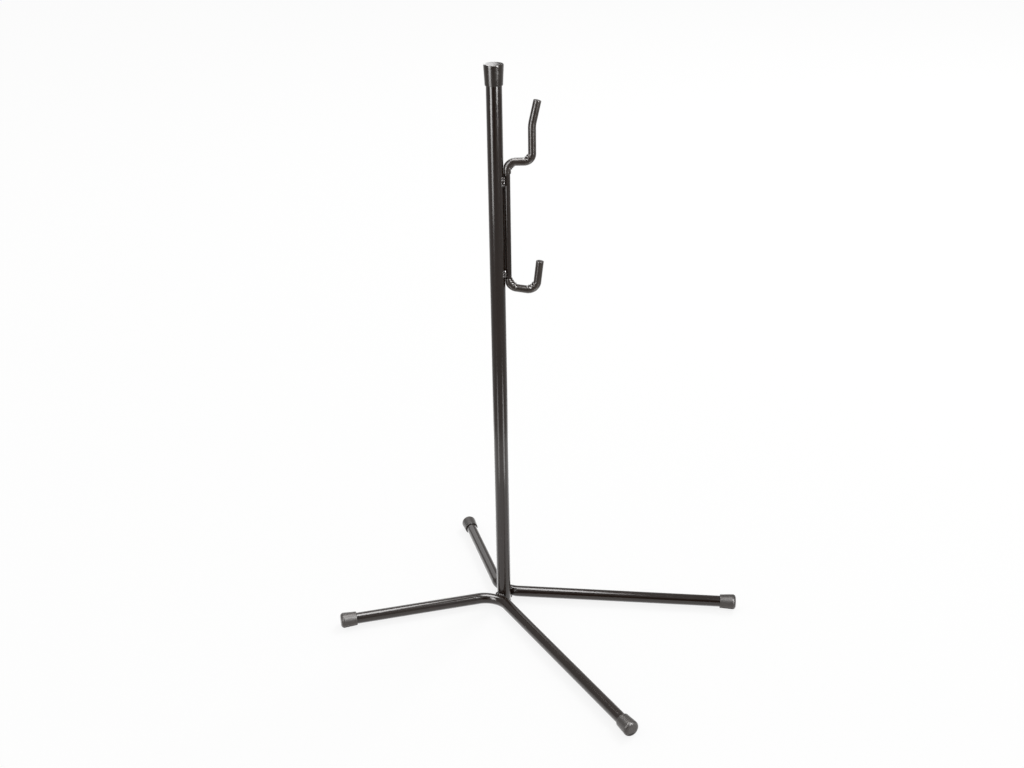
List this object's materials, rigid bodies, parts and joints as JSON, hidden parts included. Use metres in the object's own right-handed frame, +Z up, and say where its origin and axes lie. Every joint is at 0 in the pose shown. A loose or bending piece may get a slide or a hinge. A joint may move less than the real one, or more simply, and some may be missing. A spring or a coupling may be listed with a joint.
{
  "type": "floor bike rack",
  "caption": "Free-standing floor bike rack: an upright post on splayed bent-tube legs, with sleeved hooks that hold a bicycle by its rear stays.",
  "frame": {"origin": "floor level under the middle of the rack's outline; the post stands to the back left of it", "axes": "+Z up along the post, +X the way the hooks point out from the post, -Y the side the long front leg reaches towards"},
  "size_m": [0.457, 0.4186, 0.626],
  "materials": {
    "painted_steel": "gloss black-brown paint on round steel tube and rod",
    "weld_steel": "the same paint over rippled weld beads",
    "cap_plastic": "satin black moulded caps",
    "sleeve_plastic": "soft black tubing with a slight shine"
  },
  "bodies": {
    "root": {"post_tube": "painted_steel", "top_cap": "cap_plastic", "front_leg_tube": "painted_steel", "front_leg_weld_top": "weld_steel", "front_leg_weld_bottom": "weld_steel", "left_foot_cap": "cap_plastic", "front_foot_cap": "cap_plastic", "rear_leg_tube": "painted_steel", "rear_leg_weld_top": "weld_steel", "rear_leg_weld_bottom": "weld_steel", "back_foot_cap": "cap_plastic", "right_foot_cap": "cap_plastic", "hook_rod": "painted_steel", "upper_hook_sleeve": "sleeve_plastic", "lower_hook_sleeve": "sleeve_plastic", "upper_hook_weld_front": "weld_steel", "upper_hook_weld_rear": "weld_steel", "lower_hook_weld_front": "weld_steel", "lower_hook_weld_rear": "weld_steel"}
  },
  "joints": []
}
